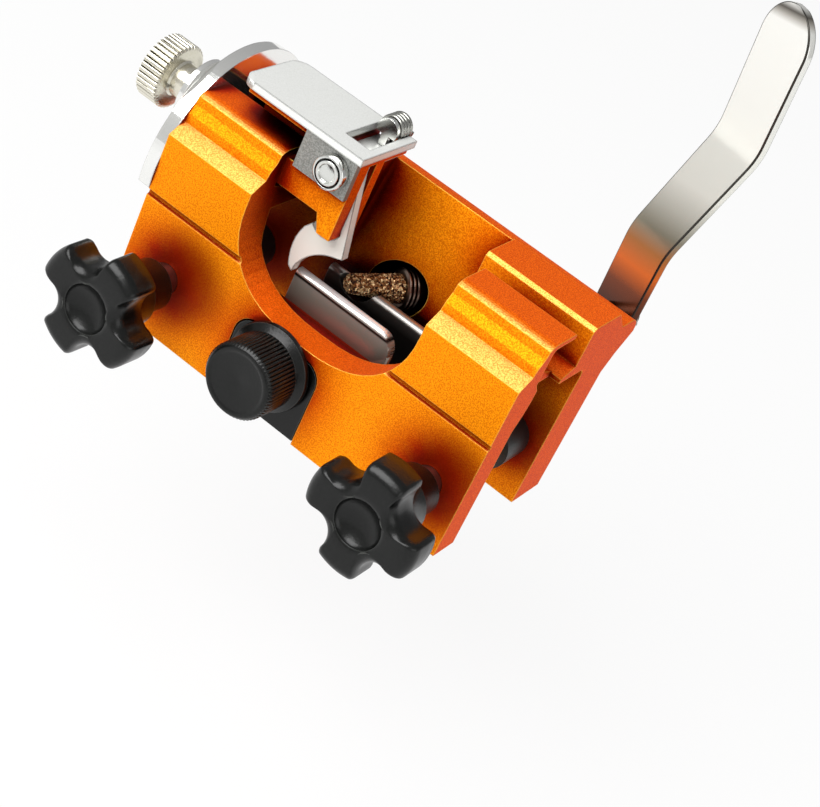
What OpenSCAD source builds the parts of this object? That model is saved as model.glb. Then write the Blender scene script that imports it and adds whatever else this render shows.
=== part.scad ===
// Sharpening jig: a slotted saddle with two clamps, a pair of jaws in its slot, a pawl
// on a screw-fed carriage, and a hand-cranked diamond burr that reaches in at an angle.
// X runs along the body, -Y is the side of the star knobs, +Z is up.

/* [Body] */
// Length of the body
body_l = 82; // [80:1:96]
// Thickness of the front wall
front_t = 7.1; // [6.6:0.1:7.6]
// Width of the slot under the saddle
slot_w = 22; // [21.5:0.1:24]
// Thickness of the rear wall at its foot
rear_t = 10.5; // [9.5:0.1:12]
// Height of the ceiling of the slot
slot_h = 33.5; // [32.5:0.1:34]
// How far the front wall rises above the ceiling of the slot
front_rise = 13; // [12.5:0.1:13.6]
// How far the rear block rises above the ceiling of the slot
rear_rise = 11; // [10.4:0.1:11.6]
// Width of the open channel on top, between front wall and rear block
channel_w = 16.2; // [16:0.1:17]
// How far the lip reaches back over the channel
lip_w = 7.5; // [6:0.1:7.8]
// Thickness of the lip
lip_t = 1; // [0.8:0.1:1.2]

/* [Window] */
// Left edge of the window in the front wall
window_x = 20.3; // [20:0.1:20.8]
// Width of the window
window_w = 41; // [40:0.5:44]
// Height of the lowest point of the window
window_z = 18.9; // [18.7:0.1:20]
// Left edge of the milled pocket in the rear block
pocket_x = 28; // [27:0.5:30]
// Width of the milled pocket
pocket_w = 29; // [27:0.5:31]

/* [End plate] */
// Radius of the round end plate
plate_r = 22.3; // [21:0.1:23.5]
// Thickness of the end plate
plate_t = 2.7; // [2:0.1:3.5]

/* [Carriage and its screw] */
// Left end of the carriage when it is parked
carriage_x = 8; // [7.5:0.1:9]
// Length of the carriage
carriage_l = 26.4; // [26.2:0.1:27]
// Thickness of the cover plate
cover_t = 1.5; // [1:0.1:2]
// Height of the underside of the cover plate above the lip of the front wall
cover_rise = 6.5; // [6.1:0.1:7.5]
// Radius of the knurled drum of the thumbscrew
drum_r = 6.7; // [6:0.1:7.2]
// Width of the knurled drum
drum_w = 5.3; // [4.5:0.1:7]
// Radius of the feed screw
feed_r = 2; // [1.8:0.05:2]
// Depth of the axis of the feed screw under the lip of the front wall
feed_drop = 3.7; // [3.6:0.05:3.8]

/* [Pawl] */
// Thickness of the pawl
pawl_t = 2; // [1.6:0.1:2.2]
// Height of the pivot of the pawl above the lip of the front wall
pivot_rise = 2.5; // [2.1:0.1:2.7]
// Radius of the pivot shank
pivot_r = 1.25; // [1.1:0.05:1.25]
// Mean radius of the coil spring
spring_r = 2.3; // [2.1:0.1:2.3]

/* [Jaws] */
// Width of the black plate in the front wall
slider_w = 19.6; // [18:0.2:20]
// Height of the slot for the black plate
slider_slot_h = 17.3; // [16.6:0.1:17.4]
// Gap between the two jaws
jaw_gap = 6; // [5.4:0.1:6.4]
// Thickness of a jaw blade
jaw_t = 2.5; // [2:0.1:2.8]
// Height of the top edge of the rear jaw
rear_jaw_top = 23.2; // [22:0.1:24]
// Radius of the knurled thumb knob
thumb_r = 7.5; // [6.8:0.1:8]
// Length of the knurled thumb knob
thumb_l = 8.6; // [7:0.1:10]

/* [Clamps] */
// Distance of the left clamp from the left end
left_clamp_x = 10; // [9:0.1:11]
// Distance of the right clamp from the right end
right_clamp_inset = 7.5; // [7:0.1:9]
// Height of the clamp axes above the foot
clamp_z = 12.4; // [12.2:0.1:13.5]
// Radius of a clamp screw
clamp_r = 3; // [2.5:0.1:3.2]
// Radius over the lobes of a star knob
star_r = 11.8; // [10.5:0.1:12]
// Thickness of the lobes of a star knob
star_t = 7.6; // [6.5:0.1:8.5]
// Thickness of the work that the clamps are set to
bar_t = 4; // [3.6:0.1:4.4]

/* [Grinding rod] */
// Angle between the rod and the square line across the body
rod_yaw = 33; // [32:0.5:34]
// Height of the rod axis
rod_z = 23.1; // [22.9:0.1:23.5]
// Radius of the bore through the rear block
bore_r = 5.4; // [5.2:0.05:5.6]
// Radius of the plain rod
rod_r = 2.45; // [2.2:0.05:2.5]
// Radius of the diamond burr at its base
burr_r = 2.8; // [2.6:0.05:2.9]
// Radius of the diamond burr at its tip
burr_tip_r = 1.7; // [1.5:0.05:2]
// Length of the diamond burr
burr_l = 11.4; // [9:0.1:12]
// Width of the crank strip at its foot
crank_w = 13.5; // [12:0.1:14.5]
// Thickness of the crank strip
crank_t = 1.8; // [1.5:0.1:2.2]

/* [Hidden] */
$fn = 72;

slide_gap = 0.3;
running_gap = 0.05;
past = 1;

front_h = slot_h + front_rise;
rear_h = slot_h + rear_rise;
cover_z = front_h + cover_rise;
pivot_z = front_h + pivot_rise;
feed_z = front_h - feed_drop;
slot_y = front_t + slot_w;
block_y = front_t + channel_w;
lip_y = front_t + lip_w;
foot_y = slot_y + rear_t / 2;
window_x2 = window_x + window_w;
slider_x = window_x + window_w / 2 - 3.4;
bar_y = front_t + slot_w / 2 + 0.9;
shelf_y = 19;

feed_y = front_t + 4.2;
arm_y = front_t + slide_gap;
pawl_y = arm_y + 3.6;
cheek_y = pawl_y + pawl_t + 0.2;
cheek_t = 2.6;
neck_y = lip_y + slide_gap + 0.1;
pivot_x = carriage_x + carriage_l - 3.9;
arm_x = carriage_x + 14.5;
seat_z = cover_z - 2.4;

jaw_front_y = bar_y - jaw_gap / 2 - jaw_t;
jaw_rear_y = bar_y + jaw_gap / 2;
thumb_z = 11.5;
shoulder_y = 3.6;

pad_t = 2;
star_y = -23;
star_back = star_y + star_t;

mouth = [41.3, slot_y, rod_z];
rod_tip = -10.6;
hub_s = 52;
crank_tilt = -2;

// Puts the middle of the rear foot at the origin
module place()
    translate([-body_l / 2, -foot_y, 0])
        children();

// A side profile in Y and Z, drawn out along X from x1 to x2
module along_x(x1, x2)
    translate([x1, 0, 0])
        rotate([90, 0, 90])
            linear_extrude(x2 - x1)
                children();

// A front outline in X and Z, drawn out along Y from y1 to y2
module along_y(y1, y2)
    translate([0, y2, 0])
        rotate([90, 0, 0])
            linear_extrude(y2 - y1)
                children();

// A cylinder along Y from y1 to y2 about the axis at x, z
module rod_y(x, z, r, y1, y2)
    translate([x, y2, z])
        rotate([90, 0, 0])
            cylinder(h = y2 - y1, r = r);

// A cylinder along X from x1 to x2 about the axis at y, z
module rod_x(y, z, r, x1, x2)
    translate([x1, y, z])
        rotate([0, 90, 0])
            cylinder(h = x2 - x1, r = r);

// Stands the children, drawn about +Z, on the rod axis at distance s past the bore mouth
module on_rod(s)
    translate(mouth)
        rotate([0, 0, -rod_yaw])
            rotate([-90, 0, 0])
                translate([0, 0, s])
                    children();

// Points of a round arc in the plane of an outline
function arc(c, r, a1, a2, n) = [for (i = [0 : n])
    c + r * [cos(a1 + (a2 - a1) * i / n), sin(a1 + (a2 - a1) * i / n)]];

// Body

groove_z = 25.1;
groove_w = 1.3;
groove_t = 0.5;

module front_section() {
    crest = front_h - 3.9;
    polygon(concat(
        [[0, 0], [0, groove_z], [groove_t, groove_z + 0.3], [groove_t, groove_z + groove_w - 0.3]],
        [[0, groove_z + groove_w], [0, front_h - 8]],
        [[3.2, front_h - 5.8], [3.7, front_h - 4.2], [4.9, front_h - 2.4]],
        arc([front_t + 0.6, crest], 3.9, 128, 92, 5),
        [[lip_y - 0.4, front_h], [lip_y, front_h - 0.5], [lip_y - 0.3, front_h - lip_t]],
        arc([front_t + 1.2, front_h - lip_t - 1.3], 1.2, 90, 180, 5),
        [[front_t, slot_h + 4.1], [front_t + 1.7, slot_h + 2.2], [front_t + 1.7, slot_h - 0.2]],
        [[front_t + 1.2, slot_h - 3.1], [front_t, slot_h - 6.7], [front_t, 0]]));
}

module rear_section() {
    ledge_z = rear_h - 4.5;
    heel_y = foot_y + rear_t / 2;
    polygon(concat(
        [[slot_y, 0]],
        arc([slot_y - 2, slot_h - 2], 2, 0, 90, 6),
        [[shelf_y, slot_h], [shelf_y, slot_h + 0.9], [block_y, slot_h + 2.4]],
        [[block_y, rear_h - 0.7], [block_y + 0.7, rear_h], [block_y + 10.2, rear_h]],
        [[block_y + 15.1, ledge_z], [block_y + 19.4, ledge_z]],
        arc([block_y + 19.4, ledge_z - 3.6], 3.6, 90, 0, 6),
        [[block_y + 19.2, slot_h - 1.2], [heel_y + 0.6, slot_h - 5], [heel_y, 0]]));
}

module web_section()
    polygon([[front_t - past, slot_h - 0.2], [front_t - past, slot_h + 5.3],
        [front_t, slot_h + 5.2], [shelf_y + past, slot_h + 0.8], [shelf_y + past, slot_h]]);

// The window is a U whose lower half is half of a wide superellipse
module window_outline() {
    half = window_w / 2;
    spring_z = window_z + 16.5;
    function side(a) = sign(cos(a)) * pow(abs(cos(a)), 0.78);
    function drop(a) = pow(abs(sin(a)), 0.92);
    polygon(concat(
        [[window_x, front_h + past], [window_x, spring_z]],
        [for (i = [1 : 23]) let (a = 180 + 180 * i / 24)
            [window_x + half + half * side(a), spring_z - 16.5 * drop(a)]],
        [[window_x2, spring_z], [window_x2, front_h + past]]));
}

module slider_slot() {
    half = slider_w / 2 + 0.2;
    along_y(-past, shoulder_y)
        round_topped(slider_x, half, slider_slot_h, 4);
    along_y(shoulder_y - past, front_t + past)
        round_topped(slider_x, half - 3.2, slider_slot_h - 2, 3);
}

// A slot outline that is open at the bottom, with rounded top corners
module round_topped(x, half, h, r)
    polygon(concat(
        [[x - half, -past]],
        [[x + half, -past]],
        arc([x + half - r, h - r], r, 0, 90, 6),
        arc([x - half + r, h - r], r, 90, 180, 6)));

module pocket()
    along_x(pocket_x, pocket_x + pocket_w)
        polygon([[shelf_y, 21.5], [slot_y, 21.5], [slot_y + 5.7, rear_h + past], [shelf_y, rear_h + past]]);

module body() place() color("#ff8c0a")
    difference() {
        union() {
            along_x(0, body_l) front_section();
            along_x(0, body_l) rear_section();
            along_x(0, body_l - 2.4) web_section();
        }
        along_y(-past, block_y) window_outline();
        pocket();
        slider_slot();
        for (x = clamp_xs())
            rod_y(x, clamp_z, clamp_r + running_gap, -past, front_t + past);
        for (x = clamp_xs())
            rod_y(x, clamp_z, rest_r, slot_y - past, slot_y + rest_sink);
        on_rod(-6)
            cylinder(h = 30, r = bore_r);
        for (p = plate_screws())
            rod_x(p[0], p[1], plate_screw_r, -past, 9);
        for (x = jaw_screw_xs())
            rod_y(x, jaw_screw_z, jaw_screw_r + running_gap, slot_y - past, slot_y + rear_t + 4);
        for (x = jaw_screw_xs())
            rod_y(x, jaw_screw_z, jaw_head_r + 0.2, slot_y + 6, slot_y + rear_t + 4);
    }

// End plate and its screws

plate_screw_r = 1.5;
function plate_screws() = [[front_t / 2 + 0.3, slot_h + 1.5], [block_y + 10, slot_h + 3]];
plate_c = [slot_y - 7.1, slot_h - 3.5];

module end_plate() place() color("#d8d8d4")
    difference() {
        along_x(-plate_t, 0)
            intersection() {
                translate(plate_c) circle(plate_r, $fn = 120);
                translate([-plate_r, slot_h - 7]) square([4 * plate_r, 2 * plate_r]);
            }
        along_x(-plate_t - past, past)
            arch();
        rod_x(feed_y, feed_z, feed_r + running_gap, -plate_t - past, past);
        for (p = plate_screws())
            plate_screw(p, 0.1);
    }

// Opening in line with the slot: straight sides and a flat round top
module arch() {
    half = slot_w / 2 - 0.2;
    polygon(concat([[front_t + 0.2, 0]],
        [for (i = [0 : 12]) [front_t + slot_w / 2 - half * cos(15 * i), slot_h - 2 + 3 * sin(15 * i)]],
        [[slot_y - 0.2, 0]]));
}

// A countersunk screw along X, with its head flush in the end plate
module plate_screw(p, more)
    translate([-plate_t, p[0], p[1]])
        rotate([0, 90, 0]) {
            translate([0, 0, -more]) cylinder(h = 1.5 + more, r1 = 2.9 + more, r2 = plate_screw_r + more);
            cylinder(h = plate_t + 8.6, r = plate_screw_r + more);
        }

module end_plate_screws() place() color("#8c8c8c")
    for (p = plate_screws())
        difference() {
            plate_screw(p, 0);
            translate([-plate_t, p[0], p[1]])
                rotate([0, 90, 0])
                    cylinder(h = 2.4, r = 1, $fn = 6, center = true);
        }

// Thumbscrew that feeds the carriage

thumb_end = -14;
washer_x = -plate_t - 1;

module thumbscrew() place() color("#e8e4d4")
    difference() {
        union() {
            translate([thumb_end, feed_y, feed_z])
                rotate([0, 90, 0])
                    knurled(drum_r, drum_w, 40);
            rod_x(feed_y, feed_z, 3.4, thumb_end + drum_w, washer_x);
            rod_x(feed_y, feed_z, feed_r, washer_x - past, carriage_x + 15.5);
        }
        rod_x(feed_y, feed_z, drum_r - 2.2, thumb_end - past, thumb_end + 0.4);
    }

// A drum along +Z with straight grooves and bevelled rims
module knurled(r, h, n)
    difference() {
        rotate_extrude()
            polygon([[0, 0], [r - 0.7, 0], [r, 0.6], [r, h - 0.6], [r - 0.7, h], [0, h]]);
        for (i = [0 : n - 1])
            rotate([0, 0, 360 * i / n])
                translate([r, 0, -past])
                    rotate([0, 0, 45])
                        cube([0.5, 0.5, 3 * h], center = true);
    }

module thumbscrew_washer() place() color("#dcdcdc")
    difference() {
        rod_x(feed_y, feed_z, 7.2, washer_x, -plate_t);
        rod_x(feed_y, feed_z, feed_r + running_gap, washer_x - past, past);
    }

module thumbscrew_clip() place() color("#777777")
    difference() {
        rod_x(feed_y, feed_z, feed_r + 0.6, 0.1, 0.9);
        rod_x(feed_y, feed_z, feed_r, 0, past);
    }

// Carriage with the cheeks that hold the pawl

module carriage_section()
    polygon([[arm_y, slot_h + 5.8], [arm_y, front_h - lip_t - slide_gap], [neck_y, front_h - lip_t - slide_gap],
        [neck_y, cover_z], [block_y - slide_gap, cover_z], [block_y - slide_gap, slot_h + 3.4],
        [shelf_y + 0.6, slot_h + 2], [neck_y, slot_h + 2.6]]);

// Front view of the two cheeks: the leg comes down beside the pawl
module cheek_outline(leg_z) {
    right = carriage_x + carriage_l;
    polygon([[arm_x, cover_z - 0.01], [right, cover_z - 0.01], [right, leg_z],
        [right - 2.9, leg_z], [right - 4.4, slot_h + 5.8], [arm_x, slot_h + 5.8]]);
}

module carriage() place() color("#ff8c0a")
    difference() {
        union() {
            along_x(carriage_x, arm_x + 1.5) carriage_section();
            along_y(arm_y, pawl_y - 0.2) cheek_outline(slot_h + 2.2);
            along_y(cheek_y, cheek_y + cheek_t) cheek_outline(slot_h + 2.2);
            translate([carriage_x, arm_y, cover_z - 1.7])
                cube([carriage_l, block_y - slide_gap - arm_y, 1.7]);
        }
        rod_x(feed_y, feed_z, feed_r + running_gap, carriage_x - past, arm_x + 4);
        rod_y(pivot_x, pivot_z, pivot_r, arm_y - past, cheek_y + cheek_t + past);
        notch(cover_z - 1.7 - past, cover_z + past, 0);
        translate([notch_x - 0.4, cheek_y - past, seat_z])
            cube([notch_w + 0.8, block_y - cheek_y + past, seat_t]);
        translate([carriage_x - past, arm_y - past, front_h - 1.5])
            cube([arm_x - carriage_x + past, neck_y - arm_y + past, cover_z - 1.7 - front_h + 1.5]);
    }

notch_w = 5.6;
notch_x = carriage_x + carriage_l - notch_w - 0.9;
notch_y = arm_y + 2.6;
notch_l = 14;

module notch(z1, z2, more)
    translate([notch_x - more, notch_y, z1])
        cube([notch_w + 2 * more, notch_l, z2 - z1]);

// Cover on top of the carriage

module cover_plate() place() color("#dedfda")
    difference() {
        translate([carriage_x - 1.4, arm_y - 1.9, cover_z])
            linear_extrude(cover_t)
                rounded_left(carriage_l + 2.3, block_y + 2 - arm_y, 3);
        notch(cover_z - past, cover_z + cover_t + past, 0);
    }

// A rectangle whose two left corners are round
module rounded_left(l, w, r)
    union() {
        translate([r, 0]) square([l - r, w]);
        translate([0, r]) square([l, w - 2 * r]);
        translate([r, r]) circle(r);
        translate([r, w - r]) circle(r);
    }

// Bracket, pivot bolt, pawl and its spring

bracket_t = 1.4;

module pawl_bracket() place() color("#9b9c98")
    difference() {
        along_y(arm_y - bracket_t, arm_y)
            translate([arm_x, front_h - 1.5])
                square([carriage_l - 14.4, cover_z - front_h + 1.5]);
        rod_y(pivot_x, pivot_z, pivot_r + running_gap, arm_y - bracket_t - past, arm_y + past);
    }

module pivot_bolt() place() color("#d5d6d2")
    union() {
        translate([pivot_x, arm_y - bracket_t, pivot_z])
            rotate([90, 0, 0])
                rotate_extrude()
                    polygon([[0, 0], [3.3, 0], [3.3, 1.7], [3, 2.1], [2.3, 2.1], [2.2, 2.3],
                        [1.7, 2.3], [1.6, 2.1], [0, 2.1]]);
        rod_y(pivot_x, pivot_z, pivot_r, arm_y - bracket_t - 0.5, cheek_y + cheek_t);
    }

// Outline of the pawl: a straight back, a hooked claw and a round boss at the pivot
module pawl_outline() {
    tip_x = pivot_x - 2.3;
    tip_z = slot_h - 9.9;
    back = pivot_x + 3;
    polygon(concat(
        [[back, pivot_z], [back + 3.3, slot_h - 1.5]],
        arc([pivot_x + 7.5, tip_z - 2], 10.25, 103, 159, 8),
        [[tip_x, tip_z]],
        arc([pivot_x + 7.1, tip_z + 5.2], 11.4, 203, 157, 6),
        arc([pivot_x + 0.6, slot_h + 3.6], 3.6, 220, 340, 7),
        arc([pivot_x, pivot_z], 2.5, 300, 90, 12),
        [[back - 1, pivot_z + 2.5], [back, pivot_z + 1.5]]));
}

module pawl() place() color("#e2e0da")
    difference() {
        along_y(pawl_y, pawl_y + pawl_t) pawl_outline();
        rod_y(pivot_x, pivot_z, pivot_r + running_gap, pawl_y - past, pawl_y + pawl_t + past);
    }

seat_t = 0.9;
spring_wire = 0.45;
spring_y = block_y - 2.9;
pin_post = 1.6;
spring_z = cover_z + 1.8;
pin_rear = block_y - slide_gap;

module spring_seat() place() color("#c9cac6")
    translate([notch_x - 0.4, cheek_y, seat_z])
        cube([notch_w + 0.8, block_y - slide_gap - cheek_y, seat_t]);

// A pin along the coil with a half-moon head, on a post that stands on the seat
module spring_pin() place() color("#bdbdb6")
    union() {
        rod_y(notch_x + notch_w / 2, spring_z, spring_r - spring_wire - 0.1, spring_y, pin_rear);
        difference() {
            rod_y(notch_x + notch_w / 2, spring_z, spring_r, spring_y - 1, spring_y);
            translate([notch_x, spring_y - 1.5, spring_z - spring_r - 0.1])
                cube([notch_w, 1.7, spring_r - 0.9]);
        }
        translate([notch_x + notch_w / 2 - pin_post / 2, spring_y - 1, seat_z + seat_t])
            cube([pin_post, 1, spring_z - seat_z - seat_t]);
    }

// Closed coils of the spring, one ring for each turn
module pawl_spring() place() color("#8e8f88")
    for (i = [0 : 3])
        translate([notch_x + notch_w / 2, spring_y + spring_wire + 0.03 + i * 2.05 * spring_wire, spring_z])
            rotate([90, 0, 0])
                rotate_extrude()
                    translate([spring_r, 0]) circle(spring_wire, $fn = 24);

// Jaws, slider and its thumb knob

slider_screw_r = 2;

module slider_plate() place() color("#1e211f")
    difference() {
        union() {
            along_y(0.1, shoulder_y)
                round_bottomed(slider_x, slider_w / 2, 0.6, slider_slot_h - 0.4, 3.8);
            along_y(shoulder_y - 0.5, front_t + 0.1)
                round_bottomed(slider_x, slider_w / 2 - 3.2, 1.4, slider_slot_h - 2.6, 2.6);
        }
        rod_y(slider_x, thumb_z, slider_screw_r + running_gap, -past, front_t + past);
    }

// A plate outline with a flat bottom and rounded top corners
module round_bottomed(x, half, z1, z2, r)
    polygon(concat(
        [[x - half, z1]],
        [[x + half, z1]],
        arc([x + half - r, z2 - r], r, 0, 90, 6),
        arc([x - half + r, z2 - r], r, 90, 180, 6)));

module slider_knob() place() color("#1a1c1b")
    difference() {
        union() {
            translate([slider_x, -2.4, thumb_z])
                rotate([90, 0, 0])
                    knurled(thumb_r, thumb_l, 48);
            translate([slider_x, -0.2, thumb_z])
                rotate([90, 0, 0])
                    rotate_extrude()
                        polygon([[0, 0], [thumb_r + 1.1, 0], [thumb_r + 1.3, 0.6], [thumb_r + 1.1, 1.4],
                            [thumb_r - 0.9, 2.4], [0, 2.4]]);
        }
        rod_y(slider_x, thumb_z, thumb_r - 1.9, -past - thumb_l - 2.4, -thumb_l - 2.1);
        rod_y(slider_x, thumb_z, slider_screw_r, -thumb_l, past);
    }

module slider_screw() place() color("#9a9a94")
    rod_y(slider_x, thumb_z, slider_screw_r, -thumb_l + 0.4, jaw_front_y - 0.6);

// A jaw blade profile with a rounded top edge, from y1 to y2 up to height z2
module blade(y1, y2, z1, z2)
    polygon(concat(
        [[y1, z1], [y2, z1]],
        arc([y2 - 1.1, z2 - 1.1], 1.1, 0, 90, 5),
        arc([y1 + 1.1, z2 - 1.1], 1.1, 90, 180, 5)));

front_jaw_x = slider_x - 9.4;
front_jaw_l = 24;
front_jaw_top = window_z + 4.4;
carrier_y = front_t + 0.2;
carrier_z = 6.5;
front_screw_r = 1;
function front_screw_xs() = [slider_x - 7, slider_x + 7];

module front_jaw() place() color("#cfc9bf")
    difference() {
        intersection() {
            along_x(front_jaw_x, front_jaw_x + front_jaw_l)
                blade(jaw_front_y, jaw_front_y + jaw_t, carrier_z, front_jaw_top);
            along_y(0, slot_y)
                translate([front_jaw_x, 0])
                    end_rounded(front_jaw_l, front_jaw_top, 4.4);
        }
        for (x = front_screw_xs())
            front_screw(x, 0.1);
    }

// Block behind the wall that carries the front jaw, with a lug at its right end
module jaw_carrier() place() color("#e0620c")
    difference() {
        union() {
            translate([slider_x - slider_w / 2 - 1, carrier_y, carrier_z])
                cube([slider_w + 2, jaw_front_y - carrier_y, 10]);
            translate([slider_x + 3, carrier_y + 2.2, carrier_z + 5])
                cube([front_jaw_x + front_jaw_l - slider_x - 4.5, jaw_front_y - carrier_y - 2.2, 5]);
        }
        rod_y(slider_x, thumb_z, slider_screw_r + running_gap, front_t - past, jaw_front_y - 0.5);
        for (x = front_screw_xs())
            rod_y(x, thumb_z, front_screw_r, jaw_front_y - 5, jaw_front_y + past);
    }

// A small countersunk screw that holds the front jaw on its carrier
module front_screw(x, more)
    translate([x, jaw_front_y + jaw_t - 0.2, thumb_z])
        rotate([90, 0, 0]) {
            translate([0, 0, -0.2 - more]) cylinder(h = 1.4 + more, r1 = 2.2 + more, r2 = front_screw_r + more);
            cylinder(h = jaw_t - 0.2 + (more > 0 ? past : 4.6), r = front_screw_r + more);
        }

module front_jaw_screws() place() color("#9a9a94")
    for (x = front_screw_xs())
        difference() {
            front_screw(x, 0);
            translate([x, jaw_front_y + jaw_t, thumb_z])
                rotate([90, 0, 0])
                    cylinder(h = 1.8, r = 0.8, $fn = 6, center = true);
        }

// Front view of the jaw blade, whose right end is round
module end_rounded(l, h, r)
    union() {
        square([l - r, h]);
        square([l, h - r]);
        translate([l - r, h - r]) circle(r);
    }

rear_jaw_x = 30;
rear_jaw_l = 24;
jaw_screw_r = 1.5;
jaw_head_r = 2.75;
jaw_screw_z = 9;
function jaw_screw_xs() = [rear_jaw_x + 4, rear_jaw_x + rear_jaw_l - 4];

module rear_jaw() place() color("#cfc9bf")
    difference() {
        union() {
            along_x(rear_jaw_x, rear_jaw_x + rear_jaw_l)
                blade(jaw_rear_y, jaw_rear_y + jaw_t, 4.5, rear_jaw_top);
            translate([rear_jaw_x, jaw_rear_y + jaw_t - 0.5, 4.5])
                cube([rear_jaw_l, slot_y - jaw_rear_y - jaw_t + 0.5, 9]);
        }
        on_rod(-15) cylinder(h = 18, r = burr_r + 0.5);
        for (x = jaw_screw_xs())
            rod_y(x, jaw_screw_z, jaw_screw_r, jaw_rear_y + past, slot_y + past);
    }

module rear_jaw_screws() place() color("#777777")
    for (x = jaw_screw_xs())
        difference() {
            union() {
                rod_y(x, jaw_screw_z, jaw_screw_r, jaw_rear_y + 1.2, slot_y + 6.2);
                rod_y(x, jaw_screw_z, jaw_head_r, slot_y + 6, slot_y + 9);
            }
            translate([x, slot_y + 9, jaw_screw_z])
                rotate([90, 0, 0])
                    cylinder(h = 3, r = 1.45, $fn = 6, center = true);
        }

// Clamps and the rests opposite them

function clamp_xs() = [left_clamp_x, body_l - right_clamp_inset];
rest_r = 4;
rest_sink = 3;
bar_front = bar_y - bar_t / 2;
bar_back = bar_y + bar_t / 2;

// Front view of a star knob: a disc with four round scoops between its lobes
module star_outline(turn) {
    scoop_r = 4.6;
    scoop_at = star_r + 0.2;
    corner_r = 1.9;
    // Where the round corner of a lobe touches the scoop and the rim
    far = star_r - corner_r;
    near = scoop_r + corner_r;
    half = acos((far * far + scoop_at * scoop_at - near * near) / (2 * far * scoop_at));
    c = far * [cos(45 - half), sin(45 - half)];
    q = scoop_at * [cos(45), sin(45)];
    to_q = atan2(q[1] - c[1], q[0] - c[0]);
    rotate(turn)
        polygon([for (k = [0 : 3]) each [for (p = concat(
            arc([0, 0], star_r, half - 45, 45 - half, 5),
            arc(c, corner_r, 45 - half, to_q, 5),
            arc(q, scoop_r, to_q + 180, 270 - to_q, 8),
            arc([c[1], c[0]], corner_r, 90 - to_q, 45 + half, 5)))
            [p[0] * cos(90 * k) - p[1] * sin(90 * k), p[0] * sin(90 * k) + p[1] * cos(90 * k)]]]);
}

module star_knob(x, turn)
    translate([x, star_back, clamp_z])
        rotate([90, 0, 0])
            difference() {
                union() {
                    intersection() {
                        linear_extrude(star_t) star_outline(turn);
                        rotate_extrude()
                            polygon(concat([[0, 0], [star_r - 0.8, 0], [star_r + 0.1, 0.9]],
                                [[star_r + 0.1, star_t - 2.2]],
                                arc([star_r - 2.3, star_t - 2.4], 2.4, 0, 90, 6),
                                [[0, star_t]]));
                    }
                    translate([0, 0, -5.4])
                        cylinder(h = 6, r = 6.2);
                    translate([0, 0, -11.6])
                        cylinder(h = 7, r = 5);
                }
                translate([0, 0, star_t + 7.4])
                    sphere(9, $fn = 96);
                translate([0, 0, -past - 11.6])
                    cylinder(h = 14.5, r = clamp_r);
            }

module clamp_screw(x)
    union() {
        rod_y(x, clamp_z, clamp_r, star_back - 1.9, bar_front - pad_t - 0.4);
        rod_y(x, clamp_z, 1.6, bar_front - pad_t - 1.4, bar_front - 0.8);
    }

module clamp_pad(x)
    difference() {
        translate([x, bar_front - pad_t - 0.35, clamp_z])
            rotate([-90, 0, 0])
                rotate_extrude()
                    polygon([[0, 0], [4, 0], [4.6, 0.6], [4.6, pad_t + 0.35], [0, pad_t + 0.35]]);
        rod_y(x, clamp_z, 1.6 + running_gap, bar_front - pad_t - past, bar_front - 0.7);
    }

left_turn = 65;
right_turn = 86;

module left_clamp_knob() place() color("#202322") star_knob(left_clamp_x, left_turn);
module right_clamp_knob() place() color("#202322") star_knob(clamp_xs()[1], right_turn);
module left_clamp_screw() place() color("#8a8a86") clamp_screw(left_clamp_x);
module right_clamp_screw() place() color("#8a8a86") clamp_screw(clamp_xs()[1]);
module left_clamp_pad() place() color("#b08d4a") clamp_pad(left_clamp_x);
module right_clamp_pad() place() color("#b08d4a") clamp_pad(clamp_xs()[1]);

module bar_rests() place() color("#5c5f5e")
    for (x = clamp_xs())
        union() {
            rod_y(x, clamp_z, rest_r, slot_y - 2, slot_y + rest_sink);
            rod_y(x, clamp_z, rest_r + 0.8, bar_back, slot_y);
        }

// Grinding rod, burr and crank

sleeve_s = 7.5;
nut_r = 1.8;
burr_spigot_r = 1.2;
ring_r = rod_r + 1.7;
sleeve_l = 10;
collar_gap = 0.3;

module rod_sleeve() place() color("#4a4038")
    on_rod(sleeve_s)
        difference() {
            cylinder(h = sleeve_l, r = bore_r - running_gap);
            translate([0, 0, -past])
                cylinder(h = sleeve_l + 2 * past, r = rod_r + running_gap);
        }

module grinding_rod() place() color("#5a5652")
    difference() {
        union() {
            on_rod(rod_tip + burr_l) rings();
            on_rod(rod_tip + burr_l + 0.2) cylinder(h = hub_s - crank_t / 2 - rod_tip - burr_l - 0.2, r = rod_r);
            on_rod(sleeve_s + sleeve_l + collar_gap) cylinder(h = 1.5, r = rod_r + 1.4);
            on_rod(hub_s - 1) cylinder(h = 6.4, r = nut_r);
        }
        on_rod(rod_tip + burr_l - past)
            cylinder(h = 5.6, r = burr_spigot_r);
    }

// The ringed collar behind the burr
module rings() {
    pitch = 0.9;
    root_r = ring_r - 0.6;
    rotate_extrude()
        polygon(concat([[0, 0]],
            [for (i = [0 : 2]) for (p = [[root_r, 0], [ring_r, 0.25], [ring_r, 0.6], [root_r, 0.85]])
                [p[0], i * pitch + p[1]]],
            [[root_r, 6.2], [0, 6.2]]));
}

module burr() place() color("#8a5a34")
    union() {
        on_rod(rod_tip)
            rotate_extrude()
                polygon(concat([[0, 0]], arc([burr_tip_r - 0.7, 0.7], 0.7, -90, 0, 4), [[burr_r, burr_l], [0, burr_l]]));
        on_rod(rod_tip + burr_l - 0.5)
            cylinder(h = 5, r = burr_spigot_r);
    }

// Middle line of the crank strip: distance along the rod against height
crank_bends = [[0, 0], [0, 18], [10.3, 41], [9, 73]];
bend_r = 14;

function unit(v) = v / norm(v);

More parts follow.
